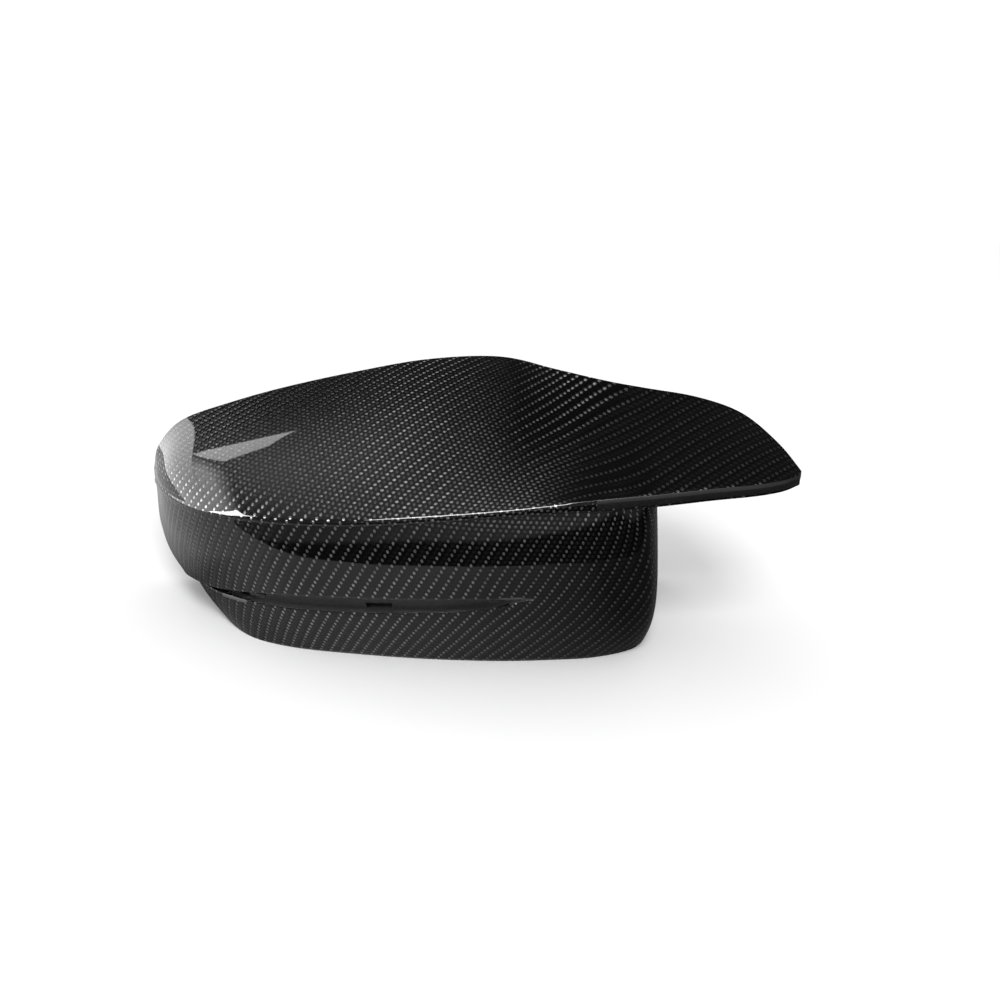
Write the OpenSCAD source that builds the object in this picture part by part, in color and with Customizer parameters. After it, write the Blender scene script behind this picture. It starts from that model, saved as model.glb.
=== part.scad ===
/* [Body] */
// Length of the body, from the outer end to the inner wall
body_l = 227.5; // [200:0.5:260]
// Depth, from the rear rim forward to the nose of the crease
body_d = 104.5; // [90:0.5:120]
// Height of the crest above the lower rim
body_h = 113; // [100:1:125]
// Thickness of the moulded skin
skin = 2; // [1.6:0.1:2.6]

/* [Fin] */
// How far the fin reaches past the inner wall
fin_l = 58; // [45:0.5:70]
// Height of the lip along the front edge of the fin
lip_h = 5.5; // [4:0.1:6.5]
// Radius that takes the sharpness off the top of the lip
lip_round = 1; // [0.6:0.1:1.4]
// Thickness of the fin at its rear edge
fin_edge = 2.2; // [1.6:0.1:3]
// Radius of the corner where the front turns into the inner wall
corner_r = 16; // [12:1:20]

/* [Lamp slot] */
// Height of the lamp slot at the middle of the front
slot_h = 8.3; // [7:0.1:9.5]
// How deep the slot's floor lies behind the face
slot_depth = 5; // [4:0.1:6]
// Height of the locating recess in the slot's floor
eye_h = 3.6; // [3:0.1:4]
// Depth of the locating recess and of the notch, behind the slot's floor
recess_d = 3; // [2:0.1:4]
// Depth of the groove between the slot's floor and the strip
groove_d = 2.6; // [2:0.1:3]
// How far the strip under the slot is set back at the outer end
strip_back = 3; // [2:0.1:4]
// Rounding on the top edge of the strip under the slot
strip_round = 1; // [0.5:0.1:1.2]

/* [Clips] */
// Length of a clip's foot, along the rim
clip_l = 14; // [10:1:18]
// Width of a clip's foot, away from the rim
clip_w = 10; // [8:1:12]
// Thickness of a clip's foot and tongue
clip_t = 1.6; // [1.2:0.1:2]
// Height of the underside of the tongue above the foot's seat
clip_rise = 5; // [4:0.5:7]
// How far the tongue reaches past the foot
tongue_l = 9; // [7:0.5:11]
// How far the barb stands out from the tongue
barb = 1.4; // [1:0.1:2]
// How far the tongue's end stays inside the rim
clip_clear = 3; // [2:0.5:5]
// Thickness of the adhesive under a clip's foot
glue = 0.15; // [0.1:0.05:0.3]

/* [Hidden] */

// The outlines below are drawn for these sizes and stretched to the ones above
drawn_l = 227.5;
drawn_d = 104.5;
drawn_h = 113;
drawn_fin = 58;
// Where the inner wall stands along the drawing
wall_x = 76;
// A point of the drawing at the size that is wanted
function sized(p) = [
    p[0] <= wall_x ? wall_x + (p[0] - wall_x) * body_l / drawn_l
                   : wall_x + (p[0] - wall_x) * fin_l / drawn_fin,
    p[1] * body_d / drawn_d,
    p[2] * body_h / drawn_h
];
function all_sized(list) = [for (p = list) sized(p)];

// Stations run from the outer end round the front: 10 is at the inner wall, 14 at the fin's tip
wall_at = 10;
tip_at = 14;
// Crease between the top and the front, which is also the front edge of the fin
crease = all_sized([
    [-151.5, 0, 52.5], [-143.8, -22, 57.3], [-132, -43, 60.7], [-115, -61, 64], [-88, -78, 68.6],
    [-55, -89, 73], [-23, -95.5, 77.6], [10, -100, 82.6], [35, -103, 87], [58, -104, 90],
    [76, -104.5, 92], [97, -104.5, 94.5], [114, -104, 96], [125.5, -102, 97.2], [132.6, -98.4, 98]
]);
// Rear rim of the top, and the trailing edge of the fin
rear = all_sized([
    [-151.5, 0, 57.5], [-148.5, 0, 69], [-137, 0, 81.5], [-115, 0, 90], [-88, 0, 98],
    [-55, 0, 105.6], [-23, 0, 111.5], [10, -1, 113.2], [35, -7, 109.4], [58, -16, 107.1],
    [76, -22, 105.9], [97, -29.5, 104.9], [115.5, -43.5, 102.9], [128, -70, 99.8], [133.9, -95, 98.2]
]);
// How far the top swells above the straight line from crease to rim
swell = [0.3, 1.2, 3.2, 5.2, 6.6, 7.2, 7, 4.6, 0.6, -1.2, -0.8, 0.2, 0.6, 0.4, 0];
// How far the swell leans across the top, in stations
swell_lean = 0.7;
// Share of the lip's full height, and how far the face below it is set back
lip_share = [0.5, 0.5, 0.5, 0.5, 0.52, 0.6, 0.6, 0.64, 0.84, 1, 1, 0.97, 0.95, 0.94, 0.84];
setback = [0.3, 0.3, 0.3, 0.3, 0.3, 0.4, 0.7, 1.6, 2.8, 3.6, 8.6, 9, 8, 5, 2];

// Levels of the front and of the inner wall, whose stations go on to 13 at its rear edge
rim_low = all_sized([
    [-127, 0, 0], [-124.5, -16, 0], [-118, -36, 0], [-104, -57, 0], [-83, -68, 0], [-54, -74.2, 0],
    [-23, -78.6, 0], [8, -80.5, 0], [33, -79.5, 0], [53, -76.9, 0], [70.5, -68.3, 0],
    [76.8, -52, 0], [78, -26, 0], [78, 0, 0]
]);
level_low = all_sized([
    [-144.5, 0, 14], [-138.5, -19, 14.5], [-129, -41.5, 19], [-114, -60, 23], [-87, -78, 28.5],
    [-55, -88, 31], [-23, -93.7, 33.5], [9, -97.3, 36], [34, -98, 36], [56.5, -96.5, 34],
    [75.2, -88.5, 30], [78.7, -67, 30], [78.9, -33, 30], [78.9, -1.5, 30]
]);
level_high = all_sized([
    [-151, 0, 33], [-144.6, -21, 35], [-133, -42.8, 39], [-117, -61.3, 42], [-89.5, -79.5, 48],
    [-56, -90.5, 53], [-23, -97, 57], [10, -101.3, 61], [35, -102.6, 62], [57, -101.8, 62],
    [73.4, -96, 60], [77.8, -76, 60], [78, -42, 60], [78, -9, 60]
]);
// Height of the slot's upper edge, and how the slot's height falls away to its outer end
slot_top = [13, 14.5, 21, 25.5, 32.3, 36, 38.4, 40.2, 42.5, 44, 44, 44, 44, 44];
slot_share = [0.05, 0.35, 0.45, 0.52, 0.93, 1, 1];
// Stations where the slot starts at the outer end, starts to close, and ends
slot_from = 1.1;
slot_narrow = 6;
slot_end = 7.6;
// How sharply the slot's tail draws in
tail_power = 1.9;
// Spacing of the slot's rows where there is no slot
row_gap = 0.3;

// Columns up to the inner wall, columns of the fin, and rows across the top
body_cols = 56;
fin_cols = 16;
cols = body_cols + fin_cols;
rows = 12;
// Rows of the face above the slot, and below it
face_rows = 7;
foot_rows = 5;
// Rows of the slot: its edge, bend, upper floor, lower floor and floor's foot, the two corners of
// the groove, and the strip's edge and face
edge_row = face_rows + 1;
foot_row = edge_row + 4;
groove_row = foot_row + 1;
lip_row = groove_row + 2;
strip_row = lip_row + 1;
low_rows = strip_row + foot_rows;
lip_rows = 2;
// Columns of the inner wall
wall_cols = rows - 1;
wall_stations = 3;
face_cols = body_cols + wall_cols;

// A smooth curve through a list, at any place along it
function along(list, at) =
    let (
        last = len(list) - 1,
        k = max(0, min(last - 1, floor(at))),
        u = at - k,
        b = list[k],
        c = list[k + 1],
        a = k > 0 ? list[k - 1] : 2 * b - c,
        d = k < last - 1 ? list[k + 2] : 2 * c - b
    )
    0.5 * (2 * b + (c - a) * u + (2 * a - 5 * b + 4 * c - d) * u * u
        + (3 * b - a - 3 * c + d) * u * u * u);
function clamp(x, low, high) = max(low, min(high, x));
function mix(a, b, u) = a * (1 - u) + b * u;
function ease(u) = let (w = clamp(u, 0, 1)) w * w * (3 - 2 * w);
function unit(v) = v / norm(v);
function flat(v) = [v[0], v[1], 0];

// Station of a column: the last two of the body stand one skin apart, on either side of the wall
wall_step = skin * 1.1 / (along(crease, wall_at)[0] - along(crease, wall_at - 1)[0]);
function station(i) =
    i < body_cols ? (wall_at - wall_step) * i / (body_cols - 1)
                  : wall_at + (tip_at - wall_at) * (i - body_cols) / fin_cols;

// The top, from crease (v = 0) to rear rim (v = 1)
function top_at(t, v) =
    let (
        c = along(crease, t),
        r = along(rear, t),
        nudge = 0.05,
        run = along(crease, t + nudge) + along(rear, t + nudge)
            - along(crease, t - nudge) - along(rear, t - nudge),
        up = unit(cross(run, r - c)),
        s = along(swell, clamp(t + swell_lean * (1 - 2 * v), 0, tip_at))
            * min(1, norm(r - c) / (20 * body_d / drawn_d))
    )
    mix(c, r, v) + up * (4 * v * (1 - v) * s);
function top_normal(t, v) =
    let (
        nudge = 0.05,
        t0 = clamp(t, nudge, tip_at - nudge),
        v0 = clamp(v, nudge, 1 - nudge)
    )
    unit(cross(top_at(t0 + nudge, v0) - top_at(t0 - nudge, v0),
        top_at(t0, v0 + nudge) - top_at(t0, v0 - nudge)));

// Places of the rows across the top: the first two frame the front wall, the rest are even
function across(t) = norm(along(rear, t) - along(crease, t));
function row_at(t, j) =
    let (
        first = along(setback, t) / across(t),
        second = first + min(skin, across(t) / 4) / across(t)
    )
    j == 0 ? 0 : j == 1 ? first : mix(second, 1, (j - 2) / (rows - 2));
// The columns bend to follow the rounded corner of the inner wall
function corner_in(j) =
    let (
        front = along(crease, wall_at)[1] + along(setback, wall_at - 1),
        back = corner_r - (top_at(wall_at, row_at(wall_at, j))[1] - front)
    )
    j == 0 ? 0 : back <= 0 ? 0 : corner_r - sqrt(max(0, corner_r * corner_r - min(back, corner_r) ^ 2));
bend_reach = 7;
function bent(i, j) =
    let (
        off = abs(i - body_cols + 0.5),
        fall = ease(1 - (off - 0.5) / bend_reach),
        span = along(crease, wall_at)[0] - along(crease, wall_at - 1)[0]
    )
    station(i) - fall * corner_in(j) / span;
function top_point(i, j) = top_at(bent(i, j), row_at(station(i), j));

// Outward direction of the crease, level with the ground
function outward(t) =
    let (
        nudge = 0.05,
        run = along(crease, t + nudge) - along(crease, t - nudge)
    )
    unit([run[1], -run[0], 0]);
function lip_at(t) = lip_h * along(lip_share, t);
// The two middle rows of the lip, from the crease down
function lip_point(i, l) =
    let (t = station(i), drop = l == 0 ? lip_round : lip_at(t) - lip_round * 0.6)
    along(crease, t) + outward(t) * (lip_round * 0.6 * (i == 0 ? 0.5 : 1)) - [0, 0, drop];

// Underside: below the fin as far as the wall, and inside the shell beyond it
function fin_under(i, j) =
    let (t = station(i), v = row_at(t, j), p = top_point(i, j))
    p - [0, 0, mix(lip_at(t), fin_edge, v)];
function root_point(i) =
    let (t = station(i), c = along(crease, t), back = along(setback, t), r = along(rear, t))
    c - outward(t) * back + [0, 0, back * (r[2] - c[2]) / across(t) - lip_at(t)]
        + [fin_under(i, 1)[0] - top_at(t, row_at(t, 1))[0], 0, 0];
function inside_point(i, j) =
    let (
        t = bent(i, j),
        v = row_at(station(i), j),
        p = top_at(t, v),
        n = top_normal(t, v),
        in = i == 0 || j == rows ? unit([n[0], 0, n[2]]) : n
    )
    p - in * skin;
function under_point(i, j) =
    j == 0 ? along(crease, station(i)) - [0, 0, lip_at(station(i))]
    : i >= body_cols ? fin_under(i, j)
    : j == 1 ? root_point(i)
    : inside_point(i, j);

// Columns of the face follow the top's columns, then the rows of the wall column to the rear
function face_station(k) =
    k <= body_cols ? station(k) : wall_at + wall_stations * (k - body_cols) / wall_cols;
function face_root(k) = k <= body_cols ? under_point(k, 1) : under_point(body_cols, 1 + k - body_cols);
// A level of the face by height: one cubic through the four levels
function share(z, zs, n) =
    let (o = [for (m = [0:3]) if (m != n) m])
    (z - zs[o[0]]) * (z - zs[o[1]]) * (z - zs[o[2]])
        / ((zs[n] - zs[o[0]]) * (zs[n] - zs[o[1]]) * (zs[n] - zs[o[2]]));
function face_at(k, z) =
    let (
        q = face_station(k),
        p = [along(rim_low, q), along(level_low, q), along(level_high, q), face_root(k)],
        zs = [for (m = p) m[2]],
        s = [for (n = [0:3]) share(z, zs, n)]
    )
    [p[0][0] * s[0] + p[1][0] * s[1] + p[2][0] * s[2] + p[3][0] * s[3],
        p[0][1] * s[0] + p[1][1] * s[1] + p[2][1] * s[2] + p[3][1] * s[3], z];

// Height of the slot at a station, and how far its floor is sunk there
function slot_open(t) =
    t < slot_narrow ? slot_h * along(slot_share, t)
    : slot_h * (1 - min(1, (t - slot_narrow) / (slot_end - slot_narrow)) ^ tail_power);
function opened(t) = ease((t - slot_from + 0.5) / 1.2) * ease((slot_end + 0.1 - t) / 1.1);
// At the outer end the strip is set back under the face, and comes out to it along the front
strip_from = 1.5;
strip_reach = 3.5;
function strip_in(t) = strip_back * (1 - ease((t - strip_from) / strip_reach));
function sunk(t) = (slot_depth + strip_in(t)) * opened(t);
function slot_z(t) = along(slot_top, t) * body_h / drawn_h;
// Where the floor is deep enough, the groove is cut behind the strip
function grooved(t) = ease((sunk(t) - strip_in(t) - skin - strip_round) / 1.5);
// How much further apart the slot's rows come again on the inner wall
spread = 1.2;
function strip_z(t) = slot_z(t) - max(slot_open(t), row_gap * (1 + spread * ease((t - slot_end) / 2)) * 4);
// Height and depth of each row of the face, from the root down to the lower rim
function row_z(k, r) =
    let (
        t = face_station(k),
        top = slot_z(t),
        low = strip_z(t),
        open = top - low,
        in = opened(t),
        foot = low + mix(0.25 * open, -0.3, in),
        groove = low - groove_d,
        lower = mix(mix(top, foot, 0.72), foot + 0.6, in)
    )
    r < edge_row ? mix(face_root(k)[2], top, r / edge_row)
    : r == edge_row ? top
    : r == edge_row + 1 ? top - mix(0.2 * open, 0.9, in)
    : r == edge_row + 2 ? mix(mix(top, foot, 0.5), min(lower + eye_h, top - 1.6), in)
    : r == edge_row + 3 ? lower
    : r == foot_row ? foot
    : r == groove_row ? mix(mix(foot, low, 0.3), groove, grooved(t))
    : r == groove_row + 1 ? mix(mix(foot, low, 0.65), groove, grooved(t))
    : r == lip_row ? low
    : r == strip_row ? low - strip_round
    : mix(low - strip_round, 0, (r - strip_row) / foot_rows);
// How far each row from the slot's edge to the floor's foot has reached into the slot
row_depth = [0, 0.38, 0.72, 0.96, 1, 1];
lip_in = strip_round * 0.7;
function row_in(k, r) =
    let (
        t = face_station(k),
        floor_in = max(sunk(t), strip_in(t)),
        back = strip_in(t) * min(1, (low_rows - r) / foot_rows)
    )
    r < edge_row ? 0
    : r <= groove_row ? floor_in * row_depth[r - edge_row]
    : r == groove_row + 1 ? min(floor_in, back + skin + lip_in)
    : back + (r == lip_row ? min(sunk(t), lip_in) : 0);

// The face without its slot, the direction into the shell, and both of its surfaces
face = [for (k = [0:face_cols]) [for (r = [0:low_rows]) face_at(k, row_z(k, r))]];
function face_in(k, r) =
    let (
        k0 = max(0, k - 1),
        k1 = min(face_cols, k + 1),
        z = row_z(k, r),
        reach = 2,
        run = face_at(k1, z) - face_at(k0, z),
        rise = face_at(k, z + reach) - face_at(k, z - reach),
        n = unit(cross(rise, run))
    )
    r == low_rows ? unit(flat(n)) : k == 0 ? unit([n[0], 0, n[2]]) : n;
face_dir = [for (k = [0:face_cols]) [for (r = [0:low_rows]) face_in(k, r)]];
function outer_face(k, r) = face[k][r] + unit(flat(face_dir[k][r])) * row_in(k, r);

// Cells sunk behind the slot's floor: the locating recess for the lamp, and the notch beside it
eye_cols = [29, 30];
notch_cols = [18];
function sunk_cell(k, r) =
    (r == edge_row + 2 && len(search(k, eye_cols)) > 0)
    || (r > edge_row && r < foot_row && len(search(k, notch_cols)) > 0);
function in_recess(k, r) =
    sunk_cell(k, r) || sunk_cell(k - 1, r) || sunk_cell(k, r - 1) || sunk_cell(k - 1, r - 1);
// Each corner of these cells has a point at the bottom, found by a key of its column and row
key_step = 100;
recess_keys = [
    for (k = [notch_cols[0]:eye_cols[1] + 1]) for (r = [edge_row:foot_row])
        if (in_recess(k, r)) k * key_step + r
];
function recess_point(k, r) = outer_face(k, r) + unit(flat(face_dir[k][r])) * recess_d;
// The inner surface runs round behind the groove and the recesses, one skin away from them
function inner_face(k, r) =
    let (
        t = face_station(k),
        plain = outer_face(k, r) + (r == foot_row ? unit(flat(face_dir[k][r])) : face_dir[k][r]) * skin,
        bottom = row_z(k, groove_row) - skin,
        z = r == foot_row ? row_z(k, r)
            : mix(bottom, 0, max(0, r - groove_row - 1) / (low_rows - groove_row - 1)),
        in = skin + row_in(k, r == groove_row + 1 || r == lip_row ? strip_row : r),
        behind_groove = face_at(k, z) + unit(flat(face_dir[k][r])) * in,
        deeper = in_recess(k, r) ? recess_d : 0
    )
    mix(plain, r < foot_row ? plain : behind_groove, grooved(t)) + unit(flat(face_dir[k][r])) * deeper;
// An inner column stands behind one outer column, apart from the corner, where three share one
function behind(m) = m < body_cols - 1 ? m : m == body_cols - 1 ? body_cols : m + 2;
function shares(k) = k < body_cols ? k : k == body_cols ? body_cols - 1 : k - 2;
inner_cols = face_cols - 2;

drawn_points = concat(
    [for (i = [0:cols]) for (j = [0:rows]) top_point(i, j)],
    [for (i = [0:cols]) for (l = [0:lip_rows - 1]) lip_point(i, l)],
    [for (i = [0:cols]) for (j = [0:rows]) under_point(i, j)],
    [for (k = [0:face_cols]) for (r = [1:low_rows]) outer_face(k, r)],
    [for (m = [0:inner_cols]) for (r = [1:low_rows]) inner_face(behind(m), r)],
    [for (key = recess_keys) recess_point(floor(key / key_step), key % key_step)]
);
// The rear rim lies in one plane, and nothing reaches past it
points = [for (p = drawn_points) [p[0], min(0, p[1]), p[2]]];
lip_base = (cols + 1) * (rows + 1);
under_base = lip_base + (cols + 1) * lip_rows;
outer_base = under_base + (cols + 1) * (rows + 1);
inner_base = outer_base + (face_cols + 1) * low_rows;
function on_top(i, j) = i * (rows + 1) + j;
function on_lip(i, l) =
    l == 0 ? on_top(i, 0) : l > lip_rows ? under(i, 0) : lip_base + i * lip_rows + l - 1;
function under(i, j) = under_base + i * (rows + 1) + j;
function outer(k, r) =
    r > 0 ? outer_base + k * low_rows + r - 1
    : k <= body_cols ? under(k, 1) : under(body_cols, 1 + k - body_cols);
function inner(m, r) =
    r > 0 ? inner_base + m * low_rows + r - 1
    : m < body_cols ? under(m, 2) : under(body_cols - 1, m - body_cols + 3);

recess_base = inner_base + (inner_cols + 1) * low_rows;
function recess(k, r) = recess_base + search(k * key_step + r, recess_keys)[0];

// A four-sided face, or a three-sided one where two of its corners are the same
function quad(a, b, c, d) =
    b == c ? [[a, b, d]] : c == d ? [[a, b, c]] : a == b ? [[a, c, d]] : [[a, b, c, d]];
function wall_of_recess(k, r, dk, dr) =
    sunk_cell(k, r) && !sunk_cell(k + dk, r + dr)
    ? let (
        a = dk == 1 ? [k + 1, r + 1] : dk == -1 ? [k, r] : dr == 1 ? [k, r + 1] : [k + 1, r],
        b = dk == 1 ? [k + 1, r] : dk == -1 ? [k, r + 1] : dr == 1 ? [k + 1, r + 1] : [k, r]
    )
    quad(outer(a[0], a[1]), outer(b[0], b[1]), recess(b[0], b[1]), recess(a[0], a[1]))
    : [];

faces = concat(
    [for (i = [0:cols - 1]) for (j = [0:rows - 1])
        each quad(on_top(i, j), on_top(i + 1, j), on_top(i + 1, j + 1), on_top(i, j + 1))],
    [for (i = [0:cols - 1]) for (l = [0:lip_rows])
        each quad(on_lip(i, l + 1), on_lip(i + 1, l + 1), on_lip(i + 1, l), on_lip(i, l))],
    [for (i = [0:cols - 1]) for (j = [0:rows - 1])
        if (j == 0 || i >= body_cols || (j > 1 && i < body_cols - 1))
            each quad(under(i, j), under(i, j + 1), under(i + 1, j + 1), under(i + 1, j))],
    [for (k = [0:face_cols - 1]) for (r = [0:low_rows - 1])
        each sunk_cell(k, r)
            ? quad(recess(k, r + 1), recess(k + 1, r + 1), recess(k + 1, r), recess(k, r))
            : quad(outer(k, r + 1), outer(k + 1, r + 1), outer(k + 1, r), outer(k, r))],
    [for (m = [0:inner_cols - 1]) for (r = [0:low_rows - 1])
        each quad(inner(m, r), inner(m + 1, r), inner(m + 1, r + 1), inner(m, r + 1))],
    [for (k = [0:face_cols - 1])
        each quad(outer(k + 1, low_rows), outer(k, low_rows), inner(shares(k), low_rows),
            inner(shares(k + 1), low_rows))],
    [for (i = [0:cols - 1]) if (i != body_cols - 1)
        each quad(on_top(i, rows), on_top(i + 1, rows), under(i + 1, rows), under(i, rows))],
    quad(on_top(body_cols - 1, rows), on_top(body_cols, rows), under(body_cols, rows),
        under(body_cols - 1, rows)),
    [for (r = [0:low_rows - 1]) each concat(
        quad(outer(0, r + 1), outer(0, r), inner(0, r), inner(0, r + 1)),
        quad(outer(face_cols, r), outer(face_cols, r + 1), inner(inner_cols, r + 1),
            inner(inner_cols, r)))],
    [for (j = [2:rows - 1]) each quad(on_top(0, j), on_top(0, j + 1), under(0, j + 1), under(0, j))],
    [for (j = [1:rows - 1]) each quad(on_top(cols, j + 1), on_top(cols, j), under(cols, j),
        under(cols, j + 1))],
    [[under(0, 2), on_top(0, 0), on_top(0, 1)], [under(0, 2), on_top(0, 1), on_top(0, 2)],
        [under(0, 2), on_lip(0, 1), on_top(0, 0)], [under(0, 2), on_lip(0, 2), on_lip(0, 1)],
        [under(0, 2), under(0, 0), on_lip(0, 2)], [under(0, 2), under(0, 1), under(0, 0)]],
    [[on_top(cols, 1), on_top(cols, 0), on_lip(cols, 1)],
        [on_top(cols, 1), on_lip(cols, 1), on_lip(cols, 2)],
        [on_top(cols, 1), on_lip(cols, 2), under(cols, 0)],
        [on_top(cols, 1), under(cols, 0), under(cols, 1)]],
    [for (k = [notch_cols[0]:eye_cols[1]]) for (r = [edge_row:foot_row])
        for (s = [[1, 0], [-1, 0], [0, 1], [0, -1]]) each wall_of_recess(k, r, s[0], s[1])]
);

// The model's origin is under the middle of its box
xs = [for (p = points) p[0]];
ys = [for (p = points) p[1]];
centre = [(min(xs) + max(xs)) / 2, (min(ys) + max(ys)) / 2, 0];

module cover_shell() {
    color([0.07, 0.07, 0.075])
        translate(-centre)
            polyhedron(points, [for (f = faces) [for (n = [len(f) - 1:-1:0]) f[n]]], convexity = 8);
}

// Inner surfaces that carry the clips
function top_inside(t, v) = top_at(t, v) - top_normal(t, v) * skin;
function face_inside(k, z) =
    let (
        reach = 2,
        n = unit(cross(face_at(k, z + reach) - face_at(k, z - reach), face_at(k + 1, z) - face_at(k - 1, z)))
    )
    face_at(k, z) + n * skin;
// Nine points of the surface under a clip's foot: the middle one carries it, the first three are
// nearest the rim that its tongue points to
spots = [-1, 0, 1];
function top_spots(t, v) =
    let (
        dt = clip_l / 2 / norm(along(rear, t + 0.5) - along(rear, t - 0.5)),
        dv = clip_w / 2 / across(t)
    )
    [for (b = spots) for (a = spots) top_inside(t + a * dt, v - b * dv)];
function end_spots(k, z, toward) =
    let (dk = clip_w / 2 / norm(face_inside(k + 0.5, z) - face_inside(k - 0.5, z)))
    [for (b = spots) for (a = spots) face_inside(k - b * dk * toward, z + a * clip_l / 2)];
function foot_spots(k, z) =
    let (dk = clip_l / 2 / norm(face_inside(k + 0.5, z) - face_inside(k - 0.5, z)))
    [for (b = spots) for (a = spots) face_inside(k + a * dk, z + b * clip_w / 2)];

// A point well inside the shell, which tells the inner side of each surface
inside = sized([-30, -45, 45]);
// Puts a clip's foot on nine spots of a surface, just clear of the highest
module seat(near) {
    mid = near[4];
    along_x = near[1] - near[7];
    along_y = near[5] - near[3];
    square = unit(cross(along_x, along_y));
    z = square * (inside - mid) > 0 ? square : -square;
    x = unit(along_x - z * (along_x * z));
    y = cross(z, x);
    lift = max([for (q = near) (q - mid) * z]) + glue;
    p = mid + z * lift - centre;
    multmatrix([
        [x[0], y[0], z[0], p[0]],
        [x[1], y[1], z[1], p[1]],
        [x[2], y[2], z[2], p[2]],
        [0, 0, 0, 1]
    ])
        clip();
}
// A clip: a flat foot, a riser at its rim side, and a tongue with a barb that springs off the riser
module clip() {
    edge = clip_w / 2;
    rib_t = 1.2;
    color([0.03, 0.03, 0.03]) {
        rotate([90, 0, 0])
            translate([0, 0, -clip_l / 2])
                linear_extrude(clip_l)
                    polygon([
                        [-edge, 0], [edge, 0], [edge, clip_rise],
                        [edge + tongue_l, clip_rise], [edge + tongue_l, clip_rise + clip_t * 0.6],
                        [edge + tongue_l - barb * 1.8, clip_rise + clip_t + barb],
                        [edge + tongue_l - barb * 1.8, clip_rise + clip_t],
                        [edge - clip_t, clip_rise + clip_t], [edge - clip_t, clip_t], [-edge, clip_t]
                    ]);
        for (side = [-1, 1])
            translate([0, side * (clip_l / 2 - rib_t) + rib_t / 2, 0])
                rotate([90, 0, 0])
                    linear_extrude(rib_t)
                        polygon([
                            [edge - clip_t, clip_t], [edge - clip_t, clip_rise + clip_t],
                            [1 - edge, clip_t]
                        ]);
    }
}
// How far the middle of a clip's foot lies from the rim that its tongue points to
from_rim = tongue_l + clip_w / 2 + clip_clear;
function rim_spots(t) = top_spots(t, 1 - from_rim / across(t));
module shoulder_clip() seat(rim_spots(4));
module crest_clip() seat(rim_spots(6.4));
module fin_root_clip() seat(rim_spots(8.8));
module outer_end_clip() seat(end_spots(4.3, 0.38 * body_h, 1));
module inner_wall_clip() seat(end_spots(face_cols - 2.6, 0.52 * body_h, -1));
module outer_foot_clip() seat(foot_spots(0.6 * body_cols, from_rim));
module front_foot_clip() seat(foot_spots(0.82 * body_cols, from_rim));

cover_shell();
shoulder_clip();
crest_clip();
fin_root_clip();
outer_end_clip();
inner_wall_clip();
outer_foot_clip();
front_foot_clip();
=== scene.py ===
# %% [markdown]
# A wing mirror cover in twill carbon
# The cover is one moulded shell under a clear coat, with small snap clips bonded inside. Its whole look
# comes from two things: a smooth surface that mirrors the studio, and a woven cloth that lies under it.
# The CAD frame gives the form and the place of every piece, so the frame is loaded first.

# %% Load the frame
import math
import bpy
from mathutils import Matrix, Vector
from mathutils.bvhtree import BVHTree


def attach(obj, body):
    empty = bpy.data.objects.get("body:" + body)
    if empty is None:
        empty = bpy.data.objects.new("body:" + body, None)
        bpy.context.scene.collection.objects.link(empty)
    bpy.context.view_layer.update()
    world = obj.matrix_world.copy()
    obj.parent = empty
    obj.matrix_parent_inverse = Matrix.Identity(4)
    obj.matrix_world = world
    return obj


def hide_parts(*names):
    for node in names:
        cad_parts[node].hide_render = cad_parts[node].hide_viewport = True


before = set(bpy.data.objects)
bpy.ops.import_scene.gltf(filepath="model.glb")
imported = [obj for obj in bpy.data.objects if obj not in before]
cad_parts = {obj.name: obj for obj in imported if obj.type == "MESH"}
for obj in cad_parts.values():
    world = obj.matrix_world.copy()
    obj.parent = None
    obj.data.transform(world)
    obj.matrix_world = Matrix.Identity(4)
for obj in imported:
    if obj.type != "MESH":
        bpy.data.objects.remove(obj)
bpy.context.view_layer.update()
MM = 0.001
scene = bpy.context.scene

# %% [markdown]
# Small helpers
# Operators act on what is selected, so each step starts by clearing the selection and taking one object.

# %% Helpers
MERGE_WITHIN = 0.02 * MM


def take(thing):
    """Selects one object and makes it the active one."""
    if bpy.context.object and bpy.context.object.mode != "OBJECT":
        bpy.ops.object.mode_set(mode="OBJECT")
    bpy.ops.object.select_all(action="DESELECT")
    thing.select_set(True)
    bpy.context.view_layer.objects.active = thing


def clear_selection(piece, kind):
    """Leaves no face, edge or corner of one piece selected."""
    take(piece)
    bpy.ops.object.mode_set(mode="EDIT")
    bpy.ops.mesh.select_mode(type=kind)
    bpy.ops.mesh.select_all(action="DESELECT")
    bpy.ops.object.mode_set(mode="OBJECT")


def apply_modifiers(piece):
    """Turns what the modifiers make into the piece's own mesh."""
    take(piece)
    for modifier in list(piece.modifiers):
        bpy.ops.object.modifier_apply(modifier=modifier.name)


def copy_of_node(node, name):
    """A merged copy of a CAD node, ready to be worked on."""
    take(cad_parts[node])
    bpy.ops.object.duplicate()
    piece = bpy.context.object
    piece.name = name
    piece.data.name = name
    piece.parent = None
    for key in list(piece.keys()):
        del piece[key]
    piece.data.materials.clear()
    bpy.ops.object.mode_set(mode="EDIT")
    bpy.ops.mesh.select_all(action="SELECT")
    bpy.ops.mesh.remove_doubles(threshold=MERGE_WITHIN)
    bpy.ops.object.mode_set(mode="OBJECT")
    return piece


print("CAD nodes", len(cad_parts))

# %% [markdown]
# The camera
# The photo is taken from the front, a little above, with a long lens about 80 cm away. The same view
# lets the render be laid beside the photo.

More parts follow.
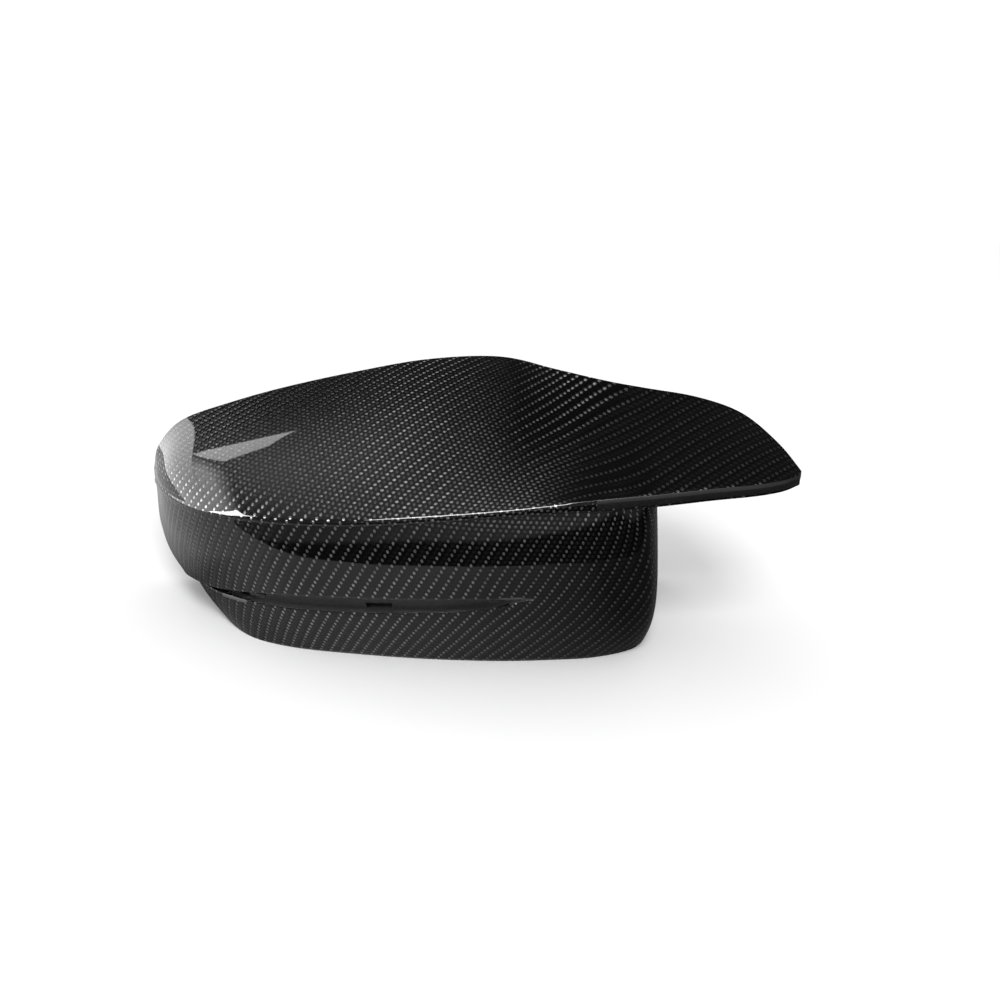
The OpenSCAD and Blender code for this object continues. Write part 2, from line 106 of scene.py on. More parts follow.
# %% Camera
LOOK_DOWN = math.radians(25)
CAMERA_AWAY = 0.8
LENS = 65.5
SENSOR = 36
AIM = Vector((0.01904, 0.00058, 0.065))
bpy.ops.object.camera_add(
    location=AIM + CAMERA_AWAY * Vector((0, -math.cos(LOOK_DOWN), math.sin(LOOK_DOWN))),
    rotation=(math.radians(90) - LOOK_DOWN, 0, 0),
)
camera = bpy.context.object
camera.name = "camera"
camera.data.lens = LENS
camera.data.sensor_width = SENSOR
camera.data.clip_start = 10 * MM
scene.camera = camera
print("camera", [round(c, 3) for c in camera.location])

# %% [markdown]
# The shell's mesh
# The real skin is laid up in a polished mould, so it is smooth all over. It could be drawn anew as a
# surface, but then it would leave the solid that the mirror head has to fit. The frame's shell has the
# right form with flat facets, so a copy is merged and its triangles are joined back into four-sided faces.

# %% Shell from the frame
shell = copy_of_node("cover_shell", "shell")
bpy.ops.object.mode_set(mode="EDIT")
bpy.ops.mesh.select_all(action="SELECT")
bpy.ops.mesh.tris_convert_to_quads(face_threshold=math.pi, shape_threshold=math.pi)
bpy.ops.object.mode_set(mode="OBJECT")
print("shell faces", len(shell.data.polygons))

# %% [markdown]
# Which finish each face has
# The outside is cloth under a clear coat. The slot and the band under the fin's edge have the coat too,
# but show dark resin with no cloth. The rims show the cut edge of the laminate, and the inside is dull.
# A face belongs to the outside if a straight line can leave it upwards, forwards or to the sides, because
# the inside can only be left to the rear or downwards. Faces could also be picked by hand, but this test
# still holds when the form changes.

# %% Which faces lie in the slot
OUTWARD = [
    Vector(d).normalized()
    for d in (
        (0, 0, 1), (0, -1, 0.4), (0, -1, 0), (0, -1, -0.25), (0, -1, 1), (-1, 0, 0.2), (1, 0, 0.2),
        (-1, 0, 1), (1, 0, 1), (-1, -1, 0.3), (1, -1, 0.3), (-1, -1, -0.2), (1, -1, -0.2),
        (0.5, -1, 0), (-0.5, -1, 0), (1, -0.3, 0), (-1, -0.3, 0),
    )
]
SLOT_TOP = 0.05
SLOT_FOOT = 0.02
SLOT_INNER_END = 0.04
SLOT_REACH = 12 * MM
LEVEL_FACE = 0.6
STEEP = Vector((0, 0, 2))


def in_the_slot(tree, spot, normal):
    """True for the faces of the slot: a steep line forwards soon meets its upper edge or the strip."""
    if spot.z > SLOT_TOP or spot.z < SLOT_FOOT or spot.x > SLOT_INNER_END:
        return False
    if abs(normal.z) > LEVEL_FACE:
        return True
    out = Vector((normal.x, normal.y, 0)).normalized()
    ways = (out + STEEP, out - STEEP)
    return any(tree.ray_cast(spot, way.normalized(), SLOT_REACH)[0] is not None for way in ways)


print("directions tried from each face", len(OUTWARD))

# %% Sort the faces
UNDER_FIN_X, UNDER_FIN_Z = 0.0835, 0.08
FIN_LIP_X, FIN_LIP_Z = 0.058, 0.085
LIP_LOWEST, LIP_HIGHEST = -0.5, 0.6
RIM_TOLERANCE = 0.1 * MM
LIFT = 0.1 * MM
FACING = 0.05
OUTER, INNER, BARE, EDGE, LIP = range(5)
FINISHES = ("outer", "inner", "bare", "edge", "lip")


def sort_faces(mesh):
    """Gives each face the number of its finish, and counts the faces of each."""
    tree = BVHTree.FromPolygons([v.co for v in mesh.vertices], [p.vertices for p in mesh.polygons])
    rear = max(v.co.y for v in mesh.vertices)
    counts = dict.fromkeys(FINISHES, 0)
    for p in mesh.polygons:
        spot, normal = p.center, p.normal
        start = spot + normal * LIFT
        is_open = any(normal.dot(d) > FACING and tree.ray_cast(start, d)[0] is None for d in OUTWARD)
        corners = [mesh.vertices[v].co for v in p.vertices]
        on_rear_rim = all(c.y > rear - RIM_TOLERANCE for c in corners)
        on_lower_rim = all(c.z < RIM_TOLERANCE for c in corners)
        under_fin = spot.x > UNDER_FIN_X and spot.z > UNDER_FIN_Z and normal.z < LIP_LOWEST
        on_lip = spot.x > FIN_LIP_X and spot.z > FIN_LIP_Z and LIP_LOWEST < normal.z < LIP_HIGHEST
        if on_rear_rim or on_lower_rim:
            kind = EDGE
        elif under_fin or not is_open:
            kind = INNER
        elif on_lip:
            kind = LIP
        elif in_the_slot(tree, start, normal):
            kind = BARE
        else:
            kind = OUTER
        p.material_index = kind
        counts[FINISHES[kind]] += 1
    return counts


print("faces of each finish", sort_faces(shell.data))

# %% [markdown]
# The cloth's map
# A real cloth is draped over the mould: its tows keep their width and only lean over. A flat picture
# thrown on from above would stretch down the front. Unwrapping with the least stretch lays the outside
# flat in nearly the same way as the cloth, so that map carries the weave. It is turned and scaled until
# a step of one is one tow.

# %% Unwrap
MAP_NAME = "cloth"
MAP_STEPS = 60
MAP_MARGIN = 0.001


def unwrap(piece, wanted):
    """Lays the faces that a test picks flat, with the least stretch."""
    clear_selection(piece, "FACE")
    for p in piece.data.polygons:
        p.select = wanted(p)
    bpy.ops.object.mode_set(mode="EDIT")
    bpy.ops.uv.unwrap(method="MINIMUM_STRETCH", margin=MAP_MARGIN, iterations=MAP_STEPS, no_flip=True)
    bpy.ops.object.mode_set(mode="OBJECT")


print("steps of each unwrap", MAP_STEPS)

# %% Scale the map
TOW = 1.62 * MM


def corner_spots(mesh, face):
    """Each corner's number in the map, with its place on the piece."""
    return [(loop, mesh.vertices[mesh.loops[loop].vertex_index].co) for loop in face.loop_indices]


def scale_map(piece, wanted, spot, along):
    """Turns and scales the map of the chosen faces, so that a tow's width is one at the spot."""
    mesh = piece.data
    layer = mesh.uv_layers[MAP_NAME].data
    chosen = [p for p in mesh.polygons if wanted(p)]
    face = min(chosen, key=lambda p: (p.center - spot).length)
    corners = [(co, layer[loop].uv.copy()) for loop, co in corner_spots(mesh, face)]
    (p0, q0), (p1, q1), (p2, q2) = corners[:3]
    a, b = p1 - p0, p2 - p0
    c, d = q1 - q0, q2 - q0
    # the wanted way is written as s steps of a and t steps of b, and the map turns those into c and d
    way = (along - face.normal * along.dot(face.normal)).normalized()
    aa, ab, bb = a.dot(a), a.dot(b), b.dot(b)
    aw, bw = a.dot(way), b.dot(way)
    det = aa * bb - ab * ab
    s = (aw * bb - bw * ab) / det
    t = (bw * aa - aw * ab) / det
    mapped = c * s + d * t
    mapped_area = c.x * d.y - c.y * d.x
    handed = 1 if mapped_area > 0 else -1
    turn = -math.atan2(mapped.y, mapped.x)
    size = 1 / (math.sqrt(abs(mapped_area) / a.cross(b).length) * TOW)
    cos, sin = math.cos(turn) * size, math.sin(turn) * size
    for p in chosen:
        for loop in p.loop_indices:
            x, y = layer[loop].uv - q0
            layer[loop].uv = (x * cos - y * sin, (x * sin + y * cos) * handed)
    return size


print("width of a tow in mm", round(TOW / MM, 2))

# %% [markdown]
# Three strips of cloth
# The skin, the inner wall under the fin and the inner side are three strips of their own, so each is
# unwrapped by itself. One spot on each is where its tows have their named width.

# %% Lay the cloth
CREST = Vector((-0.012, -0.037, 0.106))
WALL_MIDDLE = Vector((0.087, 0.0, 0.05))
TO_THE_FIN = Vector((1, 0, 0))
TO_THE_REAR = Vector((0, 1, 0))
WALL_X, WALL_TOP = 0.07, 0.095
WALL_TURN = 0.85


def is_wall(p):
    """The inner wall under the fin."""
    faces_inward = p.material_index == OUTER and p.normal.x > WALL_TURN
    return faces_inward and p.center.x > WALL_X and p.center.z < WALL_TOP


def is_skin(p):
    """The outside without the inner wall."""
    return p.material_index in (OUTER, BARE, LIP) and not is_wall(p)


def is_inside(p):
    """The side that the mirror head fills."""
    return p.material_index == INNER


shell.data.uv_layers.new(name=MAP_NAME)
shell.data.uv_layers.active = shell.data.uv_layers[MAP_NAME]
for wanted, spot, way in (
    (is_skin, CREST, TO_THE_FIN), (is_wall, WALL_MIDDLE, TO_THE_REAR), (is_inside, CREST, TO_THE_FIN),
):
    unwrap(shell, wanted)
    print("tows laid", wanted.__name__, round(scale_map(shell, wanted, spot, way), 1))

# %% [markdown]
# Straight tows on the fin
# The fin is nearly flat, so the cloth lies on it with straight tows: one set runs front to back, the
# other leans forward. The unwrapped map bends there, so over the body's inner half it turns little by
# little into that straight layout.

# %% Fin's cloth
FIN_FROM, FIN_TO = 0.024, 0.084
FIN_START = 6 * MM
TOP_FACE = 0.5
LEANING_STEP = Vector((1.86, -0.74)) * MM
STRAIGHT_STEP = 2.36 * MM


def fin_map(spot):
    """How many tows of each set lie between the origin and a spot on the fin."""
    across = spot.x / LEANING_STEP.x
    return Vector((across, (spot.y - across * LEANING_STEP.y) / STRAIGHT_STEP))


def straighten(piece):
    """Lets the map of the top turn into the fin's straight tows, and counts the faces."""
    mesh = piece.data
    layer = mesh.uv_layers[MAP_NAME].data
    skin = [p for p in mesh.polygons if is_skin(p) and p.normal.z > TOP_FACE]
    top = [p for p in skin if p.center.x > FIN_FROM - FIN_START]
    corners = [corner for p in top for corner in corner_spots(mesh, p)]
    start = [layer[loop].uv - fin_map(co) for loop, co in corners if abs(co.x - FIN_FROM) < FIN_START]
    shift = sum(start, Vector((0, 0))) / len(start)
    for loop, co in corners:
        t = min(max((co.x - FIN_FROM) / (FIN_TO - FIN_FROM), 0), 1)
        share = t * t * (3 - 2 * t)
        layer[loop].uv = layer[loop].uv.lerp(fin_map(co) + shift, share)
    return len(top)


print("faces with straight tows", straighten(shell))

# %% [markdown]
# Rounding
# A subdivision surface takes the facets out of the skin. It would also round what is crisp on the real
# part: the rims, which are cut after moulding, and the edges of the slot. So every sharp edge gets a
# crease first.

# %% Subdivide
SHARP = math.radians(48)
ROUNDING = 2


def crease_sharp_edges(piece):
    """Marks every sharp edge to be kept, and counts them."""
    clear_selection(piece, "EDGE")
    bpy.ops.object.mode_set(mode="EDIT")
    bpy.ops.mesh.edges_select_sharp(sharpness=SHARP)
    bpy.ops.transform.edge_crease(value=1)
    bpy.ops.object.mode_set(mode="OBJECT")
    return sum(e.select for e in piece.data.edges)


print("creased edges", crease_sharp_edges(shell))
subdivision = shell.modifiers.new("subdivision", "SUBSURF")
subdivision.levels = ROUNDING
subdivision.render_levels = ROUNDING
subdivision.uv_smooth = "PRESERVE_BOUNDARIES"
apply_modifiers(shell)
print("shell faces after rounding", len(shell.data.polygons))

# %% [markdown]
# Helpers for finishes
# Every finish is worked out by nodes, with no picture. These helpers add a material and its sums.

# %% Node helpers
def maths(nodes, links):
    """A short way to add sums to one tree of nodes."""

    def m(kind, a, b=None, c=None, clamp=False):
        node = nodes.new("ShaderNodeMath")
        node.operation = kind
        node.use_clamp = clamp
        for socket, value in zip(node.inputs, (a, b, c)):
            if value is None:
                continue
            if isinstance(value, (int, float)):
                socket.default_value = value
            else:
                links.new(value, socket)
        return node.outputs[0]

    return m


def new_material(name):
    """A material with its nodes, its links and its main shader."""
    material = bpy.data.materials.new(name)
    material.use_nodes = True
    nodes, links = material.node_tree.nodes, material.node_tree.links
    return material, nodes, links, nodes["Principled BSDF"]


def object_place(nodes, links):
    """The place on the object, as x, y and z in metres."""
    split = nodes.new("ShaderNodeSeparateXYZ")
    links.new(nodes.new("ShaderNodeTexCoord").outputs["Object"], split.inputs[0])
    return split.outputs


def colour_with(nodes, links, grey, socket):
    """Links one grey value to a colour."""
    colour = nodes.new("ShaderNodeCombineXYZ")
    for part in colour.inputs:
        links.new(grey, part)
    links.new(colour.outputs[0], socket)


# %% [markdown]
# The twill
# In a 2/2 twill each tow floats over two others and then dives under two, one place further on in each
# row, which gives the slanting wales. A picture of the cloth would blur up close, so the nodes count the
# tows: k tells which set lies on top at a crossing, and which half of its float is there.

# %% Twill
TWILL_REPEAT = 4
LAST_UPRIGHT = 1.5
UPRIGHT_MIDDLE, LEVEL_MIDDLE = 0.5, 2.5
HALF = 0.5


def weave(nodes, links, m):
    """Which set of tows is on top, the place across and along its float, and a chance value per float."""
    uv = nodes.new("ShaderNodeUVMap")
    uv.uv_map = MAP_NAME
    parts = nodes.new("ShaderNodeSeparateXYZ")
    links.new(uv.outputs[0], parts.inputs[0])
    u, v, _ = parts.outputs
    i, j = m("FLOOR", u), m("FLOOR", v)
    in_u = m("SUBTRACT", m("SUBTRACT", u, i), HALF)
    in_v = m("SUBTRACT", m("SUBTRACT", v, j), HALF)
    k = m("FLOORED_MODULO", m("SUBTRACT", i, j), TWILL_REPEAT)
    upright = m("LESS_THAN", k, LAST_UPRIGHT)

    def pick(a, b):
        """a where an upright tow is on top, b elsewhere"""
        return m("ADD", m("MULTIPLY", upright, a), m("MULTIPLY", m("SUBTRACT", 1, upright), b))

    across = pick(in_u, in_v)
    along = pick(
        m("SUBTRACT", m("ADD", in_v, UPRIGHT_MIDDLE), k),
        m("ADD", m("SUBTRACT", in_u, LEVEL_MIDDLE), k),
    )
    own = nodes.new("ShaderNodeCombineXYZ")
    links.new(pick(i, m("SUBTRACT", i, k)), own.inputs[0])
    links.new(pick(m("ADD", j, k), j), own.inputs[1])
    links.new(upright, own.inputs[2])
    chance = nodes.new("ShaderNodeTexWhiteNoise")
    links.new(own.outputs[0], chance.inputs["Vector"])
    return upright, across, along, chance.outputs["Value"]


print("repeat of the twill in mm", round(TWILL_REPEAT * TOW / MM, 2))

# %% [markdown]
# Which set shines
# A fibre only shines when the light lies square across it, so in most places one set of tows is bright
# and the other nearly black. On the outer half of the top both sets catch light. The shader's own turned
# shine does part of this, and the shares below paint the rest into the colour, as painted highlights. At
# the outer end the coat's reflection hides the cloth, so both sets get painted shade there.

# %% Shares of the two sets
WEAKER_SET_PAINTED_SHINE = 0.03
STRONGER_SET_PAINTED_SHINE = 3
FIN_PAINTED_SHINE_GAIN = 0.7
EVEN_UNTIL_X, EVEN_FADE = 0.055, 0.06
CREASE_Z, CREASE_FADE = 0.072, 0.006
OUTER_END_X, OUTER_END_FADE = -0.135, 0.06
OUTER_END_PAINTED_SHADE = 0.3


def painted_shine_shares(nodes, links, m):
    """How much painted shine the tows from end to end get, and how much the upright ones do: painted
    highlights where a set catches light, painted shade at the outer end.
    """
    x, _, z = object_place(nodes, links)
    leftward = m("DIVIDE", m("SUBTRACT", EVEN_UNTIL_X, x), EVEN_FADE, clamp=True)
    above_crease = m("DIVIDE", m("SUBTRACT", z, CREASE_Z), CREASE_FADE, clamp=True)
    even = m("MULTIPLY", leftward, above_crease)
    on_fin = m("MULTIPLY", m("SUBTRACT", 1, leftward), above_crease)
    # painted highlights: which set of tows is painted bright in each place
    level_painted_shine = m("ADD", m("MULTIPLY", even, 1 - WEAKER_SET_PAINTED_SHINE), WEAKER_SET_PAINTED_SHINE)
    upright_painted_shine = m("SUBTRACT", STRONGER_SET_PAINTED_SHINE, m("MULTIPLY", even, STRONGER_SET_PAINTED_SHINE - 1))
    upright_painted_shine = m("MULTIPLY", upright_painted_shine, m("ADD", m("MULTIPLY", on_fin, FIN_PAINTED_SHINE_GAIN), 1))
    # painted shade: both sets are painted darker towards the outer end
    outer_end_painted_shade = m("DIVIDE", m("SUBTRACT", x, OUTER_END_X), OUTER_END_FADE, clamp=True)
    outer_end_painted_shade = m("MULTIPLY_ADD", outer_end_painted_shade, 1 - OUTER_END_PAINTED_SHADE, OUTER_END_PAINTED_SHADE)
    return m("MULTIPLY", level_painted_shine, outer_end_painted_shade), m("MULTIPLY", upright_painted_shine, outer_end_painted_shade)


print("shine of the weaker and the stronger set", WEAKER_SET_PAINTED_SHINE, STRONGER_SET_PAINTED_SHINE)

# %% [markdown]
# One float
# A float is the stretch of a tow that lies on top, a little arch over two others. Its bright spot sits on
# the crown, midway along, and is a painted highlight in the colour. Real arches would take millions of
# faces, so a bump raises the float, and the painted highlight falls off from the crown. Chance makes the
# painted highlight of some floats a little brighter, as in any cloth.

# %% Float
FLOAT_RISE = 0.24 * MM
CROWN_ROUNDNESS = 2.5
CROWN_SHARE, ARCH_SHARE = 0.45, 0.8
SPOT_ACROSS, SPOT_ALONG = 2.5, 1.8
SPOT_FULLNESS, SPOT_SOFTNESS = 1.8, 0.2
LEAST_SHINE, SHINE_SPREAD = 0.65, 0.7


def square_of(m, value):
    """A value times itself, whatever its sign."""
    return m("POWER", m("ABSOLUTE", value), 2)


def float_bump(nodes, links, m, across, along):
    """The arch of a float and the roundness of its tow, as a bump."""
    crown = m("SUBTRACT", 1, m("POWER", m("ABSOLUTE", m("MULTIPLY", across, 2)), CROWN_ROUNDNESS))
    arch = m("SUBTRACT", 1, square_of(m, along))
    bump = nodes.new("ShaderNodeBump")
    bump.inputs["Strength"].default_value = 1
    bump.inputs["Distance"].default_value = FLOAT_RISE
    height = m("ADD", m("MULTIPLY", crown, CROWN_SHARE), m("MULTIPLY", arch, ARCH_SHARE))
    links.new(height, bump.inputs["Height"])
    return bump.outputs[0]


def painted_float_glint(m, across, along, chance):
    """The painted highlight of a float: most on its crown, midway along, and uneven from float to float.
    """
    # painted highlight: a bright patch in the colour on each float's crown
    off_crown = square_of(m, m("MULTIPLY", across, SPOT_ACROSS))
    off_middle = square_of(m, m("MULTIPLY", along, SPOT_ALONG))
    spot = m("SUBTRACT", 1, m("ADD", off_crown, off_middle), clamp=True)
    spot = m("SMOOTH_MIN", m("MULTIPLY", spot, SPOT_FULLNESS), 1, SPOT_SOFTNESS)
    return m("MULTIPLY", spot, m("ADD", m("MULTIPLY", chance, SHINE_SPREAD), LEAST_SHINE))


print("rise of a float in mm", round(FLOAT_RISE / MM, 2))

# %% [markdown]
# The carbon
# A carbon fibre is a black thread that mirrors light only across its length, so the shine is stretched
# across the tow, and it takes a quarter turn where the other set lies on top. The clear coat is a second,
# smooth layer above. The inside is the same cloth without that layer. The floats' glints are also painted
# into the base colour, as painted highlights.

# %% Carbon
QUARTER_TURN = 0.25
COAT_ROUGHNESS = 0.015
COAT_IOR = 1.5


def carbon(name, coat, roughness, painted_glint_grey, between):
    """Woven tows under resin, with or without the clear coat, and painted highlights on the floats."""
    material, nodes, links, shader = new_material(name)
    m = maths(nodes, links)
    upright, across, along, chance = weave(nodes, links, m)
    level = m("SUBTRACT", 1, upright)
    links.new(float_bump(nodes, links, m, across, along), shader.inputs["Normal"])
    tangent = nodes.new("ShaderNodeTangent")
    tangent.direction_type = "UV_MAP"
    tangent.uv_map = MAP_NAME
    links.new(tangent.outputs[0], shader.inputs["Tangent"])
    links.new(m("MULTIPLY", level, QUARTER_TURN), shader.inputs["Anisotropic Rotation"])
    level_painted_shine, upright_painted_shine = painted_shine_shares(nodes, links, m)
    share = m("ADD", m("MULTIPLY", upright, upright_painted_shine), m("MULTIPLY", level, level_painted_shine))
    spot = painted_float_glint(m, across, along, chance)
    # painted highlights: the floats' glints are added to the base colour
    painted_glints = m("MULTIPLY", m("MULTIPLY", spot, share), painted_glint_grey)
    colour_with(nodes, links, m("ADD", painted_glints, between), shader.inputs["Base Color"])
    shader.inputs["Anisotropic"].default_value = 1
    shader.inputs["Metallic"].default_value = 1
    shader.inputs["Roughness"].default_value = roughness
    shader.inputs["Coat Weight"].default_value = coat
    shader.inputs["Coat Roughness"].default_value = COAT_ROUGHNESS
    shader.inputs["Coat IOR"].default_value = COAT_IOR
    return material


print("roughness of the clear coat", COAT_ROUGHNESS)

# %% [markdown]
# Resin, cut laminate and nylon
# These show no cloth, only a faint cloudiness, without which they would look painted on. Noise in the
# object's own coordinates gives it.

# %% Plain finishes
GRAIN = 900
GRAIN_DETAIL = 3
GRAIN_FROM, GRAIN_TO = 0.35, 0.65
RESIN_COAT_ROUGHNESS = 0.03


def plain(name, dark, light, roughness, coat=0.0, grain=GRAIN):
    """A moulded or cut surface: two close greys in a fine cloudy grain."""
    material, nodes, links, shader = new_material(name)
    noise = nodes.new("ShaderNodeTexNoise")
    noise.inputs["Scale"].default_value = grain
    noise.inputs["Detail"].default_value = GRAIN_DETAIL
    links.new(nodes.new("ShaderNodeTexCoord").outputs["Object"], noise.inputs["Vector"])
    ramp = nodes.new("ShaderNodeValToRGB")
    steps = ramp.color_ramp.elements
    for step, place, grey in zip(steps, (GRAIN_FROM, GRAIN_TO), (dark, light)):
        step.position = place
        step.color = (grey, grey, grey, 1)
    links.new(noise.outputs["Fac"], ramp.inputs["Fac"])
    links.new(ramp.outputs["Color"], shader.inputs["Base Color"])
    shader.inputs["Roughness"].default_value = roughness
    shader.inputs["Coat Weight"].default_value = coat
    shader.inputs["Coat Roughness"].default_value = RESIN_COAT_ROUGHNESS
    return material


print("grain per metre", GRAIN)

# %% [markdown]
# The shell's finishes
# They go on in the order of the numbers that the faces were given: the coated twill outside, the dull
# laminate inside, bare resin in the slot, the cut rims, and the dark resin band under the fin's edge.

# %% Finish the shell
SMOOTH_UP_TO = math.radians(35)
# both carbon finishes carry painted highlights on their floats
for material in (
    carbon("clear_coated_twill", coat=1, roughness=0.44, painted_glint_grey=0.12, between=0.002),
    carbon("inner_laminate", coat=0, roughness=0.55, painted_glint_grey=0.04, between=0.018),
    plain("bare_resin", dark=0.035, light=0.05, roughness=0.4, coat=1),
    plain("cut_laminate", dark=0.014, light=0.03, roughness=0.45),
    plain("lip_resin", dark=0.004, light=0.008, roughness=0.3, coat=1),
):
    shell.data.materials.append(material)
take(shell)
bpy.ops.object.shade_smooth_by_angle(angle=SMOOTH_UP_TO)
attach(shell, "root")
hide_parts("cover_shell")
print("shell finishes", [material.name for material in shell.data.materials])

# %% [markdown]
# The clips
# They are small mouldings in black nylon, bonded inside and out of the photo's sight. The frame's shapes
# already have their feet, arms and hooks, so they only get their finish.

# %% Clips
clip_plastic = plain("clip_plastic", dark=0.016, light=0.024, roughness=0.42, grain=2500)
clips = [node for name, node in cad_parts.items() if name.endswith("_clip")]
for clip in clips:
    clip.data.materials.clear()
    clip.data.materials.append(clip_plastic)
print("clips finished", len(clips))

# %% [markdown]
# The studio
# The photo is taken on white, but what the clear coat mirrors is a dark room with one large softbox to
# the left, behind the cover. A lamp there would have one even face, but the photo's reflection has a
# bright sheet, a streak and a soft fade. Each of these is a patch of sky, given by the directions of its
# corners, as an azimuth counted from the rear and a height, both in degrees.

# %% Softbox in the sky
SHARP_EDGE, SOFT_EDGE = 0.012, 0.16
LEFT_SOFTBOX = ((-29, 27), (-29, -24), (-92, -24), (-92, 17), (-54, 28.5))
LEFT_FADE = ((-50, 24), (-60, 41), (-78, 41), (-95, 30), (-92, 5))
LEFT_STREAK = ((-53, 26), (-54, 28), (-35, 46.5), (-47, 46.5), (-63, 35), (-66, 26))
PATCHES = ((LEFT_SOFTBOX, 3, SHARP_EDGE), (LEFT_FADE, 3, SOFT_EDGE), (LEFT_STREAK, 4, SHARP_EDGE))


def heading(azimuth, height):
    """The direction of an azimuth, counted from the rear, and a height, both in degrees."""
    a, h = math.radians(azimuth), math.radians(height)
    return Vector((math.sin(a) * math.cos(h), math.cos(a) * math.cos(h), math.sin(h)))


def facing(nodes, links, way, direction):
    """How far a way looks towards a direction."""
    dot = nodes.new("ShaderNodeVectorMath")
    dot.operation = "DOT_PRODUCT"
    links.new(way, dot.inputs[0])
    dot.inputs[1].default_value = direction
    return dot.outputs["Value"]


def patch(nodes, links, m, way, corners, radiance, softness):
    """A lit patch of sky with straight edges."""
    ends = [heading(*corner) for corner in corners]
    middle = sum(ends, Vector())
    glow = radiance
    for a, b in zip(ends, ends[1:] + ends[:1]):
        edge = a.cross(b).normalized()
        if edge.dot(middle) < 0:
            edge.negate()
        inside = m("DIVIDE", facing(nodes, links, way, edge), softness, clamp=True)
        glow = m("MULTIPLY", inside, glow)
    return glow


print("patches of the softbox", len(PATCHES))

# %% [markdown]
# The room round it
# The rest of the room is nearly black, with a dim wall to the left and a dimmer one in front, which give
# the coat its slow shades.

# %% Room
ROOM_GREY = 0.04
LEFT_WALL = (-70, 56)
LEFT_WALL_GREY, LEFT_WALL_SHARPNESS = 0.7, 14
FRONT_WALL_GREY = 0.35
FRONT_WALL_FOOT, FRONT_WALL_FADE = -0.22, 0.06


def room(nodes, links):
    """How bright the studio is in each direction, as the clear coat mirrors it."""
    m = maths(nodes, links)
    way = nodes.new("ShaderNodeTexCoord").outputs["Generated"]
    split = nodes.new("ShaderNodeSeparateXYZ")
    links.new(way, split.inputs[0])
    _, y, z = split.outputs
    to_the_left = m("MAXIMUM", facing(nodes, links, way, heading(*LEFT_WALL)), 0)
    left_wall = m("POWER", to_the_left, LEFT_WALL_SHARPNESS)
    above_table = m("DIVIDE", m("SUBTRACT", z, FRONT_WALL_FOOT), FRONT_WALL_FADE, clamp=True)
    front_wall = m("MULTIPLY", m("MAXIMUM", m("MULTIPLY", y, -1), 0), above_table)
    walls = m("ADD", m("MULTIPLY", left_wall, LEFT_WALL_GREY), m("MULTIPLY", front_wall, FRONT_WALL_GREY))
    glow = m("ADD", walls, ROOM_GREY)
    for corners, radiance, softness in PATCHES:
        glow = m("MAXIMUM", glow, patch(nodes, links, m, way, corners, radiance, softness))
    return glow


print("grey of the room", ROOM_GREY)

# %% [markdown]
# The sky
# Only what is glossy sees the room. The camera and matt surfaces see an even white, as on a lit white
# background, so that the table fades into it and the matt parts aren't in the dark.

# %% Sky
SKY_WHITE = 1.15
TABLE_LIGHT = 0.78
world = bpy.data.worlds.new("studio")
scene.world = world
world.use_nodes = True
sky_nodes, sky_links = world.node_tree.nodes, world.node_tree.links
path = sky_nodes.new("ShaderNodeLightPath")


def choose(condition, otherwise, value):
    """A value where the condition holds, and what is linked elsewhere."""
    mix = sky_nodes.new("ShaderNodeMix")
    sky_links.new(path.outputs[condition], mix.inputs["Factor"])
    sky_links.new(otherwise, mix.inputs["A"])
    mix.inputs["B"].default_value = value
    return mix.outputs["Result"]


for_matt = choose("Is Diffuse Ray", room(sky_nodes, sky_links), TABLE_LIGHT)
for_camera = choose("Is Camera Ray", for_matt, SKY_WHITE)
sky_links.new(for_camera, sky_nodes["Background"].inputs["Color"])
print("sky nodes", len(sky_nodes))

# %% [markdown]
# The table
# It is a white card that ends in front of the cover, so the upper part of the face mirrors the dark room
# and the lower part mirrors the card. The card that the cover mirrors is much darker than the one that
# the camera sees, as if something shaded it, so glossy rays are given a grey of their own.

# %% Table
TABLE_LEFT, TABLE_RIGHT = -0.7, 0.5
TABLE_FRONT, TABLE_REAR = -0.14, 0.6
CARD_WHITE, CARD_ROUGHNESS = 0.9, 0.9
MIRRORED_LEAST, MIRRORED_IN_FRONT, MIRRORED_BESIDE = 0.06, 0.42, 0.45
SHADE_RIGHT_X, SHADE_RIGHT_FADE = 0.08, 0.12
SHADE_REAR_Y, SHADE_REAR_FADE = 0.02, 0.06
BESIDE_X, BESIDE_FADE = -0.14, 0.05


def table_white():
    """White card, which glossy surfaces see as grey in front and beside, and nearly black elsewhere."""
    material, nodes, links, shader = new_material("table_white")
    m = maths(nodes, links)
    x, y, _ = object_place(nodes, links)
    leftward = m("DIVIDE", m("SUBTRACT", SHADE_RIGHT_X, x), SHADE_RIGHT_FADE, clamp=True)
    forward = m("DIVIDE", m("SUBTRACT", SHADE_REAR_Y, y), SHADE_REAR_FADE, clamp=True)
    beside = m("DIVIDE", m("SUBTRACT", BESIDE_X, x), BESIDE_FADE, clamp=True)
    in_front = m("MULTIPLY", m("MULTIPLY", leftward, forward), MIRRORED_IN_FRONT)
    mirrored = m("ADD", m("MAXIMUM", in_front, m("MULTIPLY", beside, MIRRORED_BESIDE)), MIRRORED_LEAST)
    glossy = nodes.new("ShaderNodeLightPath").outputs["Is Glossy Ray"]
    grey = m("SUBTRACT", CARD_WHITE, m("MULTIPLY", glossy, m("SUBTRACT", CARD_WHITE, mirrored)))
    colour_with(nodes, links, grey, shader.inputs["Base Color"])
    shader.inputs["Roughness"].default_value = CARD_ROUGHNESS
    return material


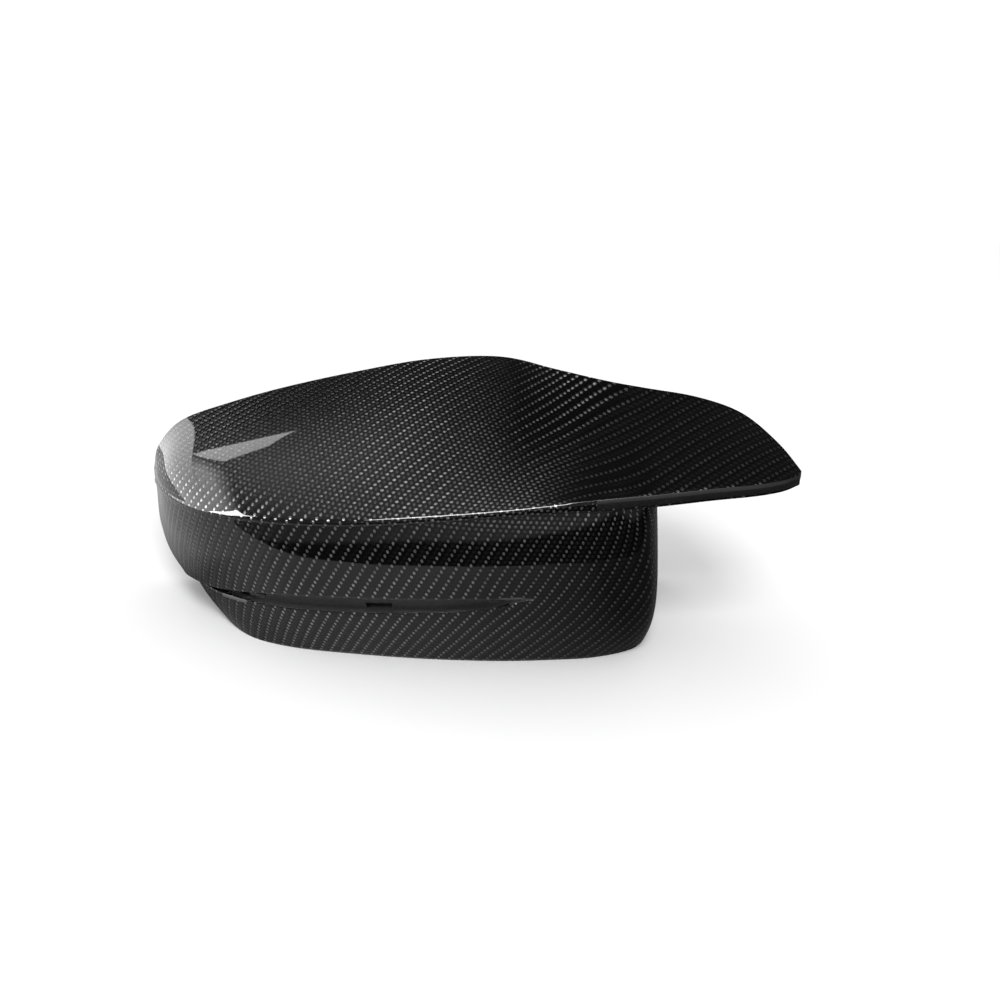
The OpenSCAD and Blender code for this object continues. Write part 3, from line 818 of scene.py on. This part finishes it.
bpy.ops.mesh.primitive_plane_add(size=1)
table = bpy.context.object
table.name = "table"
table.data.transform(
    Matrix.Translation(((TABLE_LEFT + TABLE_RIGHT) / 2, (TABLE_FRONT + TABLE_REAR) / 2, 0))
    @ Matrix.Diagonal((TABLE_RIGHT - TABLE_LEFT, TABLE_REAR - TABLE_FRONT, 1, 1))
)
table.data.materials.append(table_white())
print("table", [round(side, 2) for side in table.dimensions])

# %% [markdown]
# Three distant softboxes
# One in front and one at the outer end light the cover alone: they give the crease its white line and
# its white spot, and the fibres their glints. The third lights the table alone, from the front, and so
# casts the soft shadow behind the fin.

# %% Softboxes
LIGHT_AWAY = 3


def lit_alone(name, things):
    """The group of objects that a softbox is allowed to light."""
    group = bpy.data.collections.new(name)
    for thing in things:
        group.objects.link(thing)
    return group


def softbox(name, lit, azimuth, height, wide, tall, radiance):
    """A distant softbox for one group; its place and its size are angles in degrees."""
    way = heading(azimuth, height)
    bpy.ops.object.light_add(type="AREA", location=way * LIGHT_AWAY)
    light = bpy.context.object
    light.name = name
    light.rotation_euler = way.to_track_quat("Z", "Y").to_euler()
    light.data.shape = "RECTANGLE"
    light.data.size = 2 * LIGHT_AWAY * math.tan(math.radians(wide / 2))
    light.data.size_y = 2 * LIGHT_AWAY * math.tan(math.radians(tall / 2))
    light.data.energy = radiance * math.pi * light.data.size * light.data.size_y
    light.visible_camera = False
    light.light_linking.receiver_collection = lit
    return light


cover_only = lit_alone("cover_only", (shell, *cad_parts.values()))
table_only = lit_alone("table_only", (table,))
softboxes = (
    softbox("key_softbox", cover_only, azimuth=-150, height=47, wide=22, tall=20, radiance=20),
    softbox("side_softbox", cover_only, azimuth=-93.3, height=21, wide=11, tall=23, radiance=20),
    softbox("table_softbox", table_only, azimuth=174, height=46, wide=15, tall=15, radiance=28),
)
print("softboxes", {light.name: round(light.data.energy) for light in softboxes})

# %% [markdown]
# Colour
# The photo is a plain product shot whose white is pure white, so the render is shown without a film curve.

# %% Colour
scene.view_settings.view_transform = "Standard"
scene.view_settings.look = "None"
print("view", scene.view_settings.view_transform)
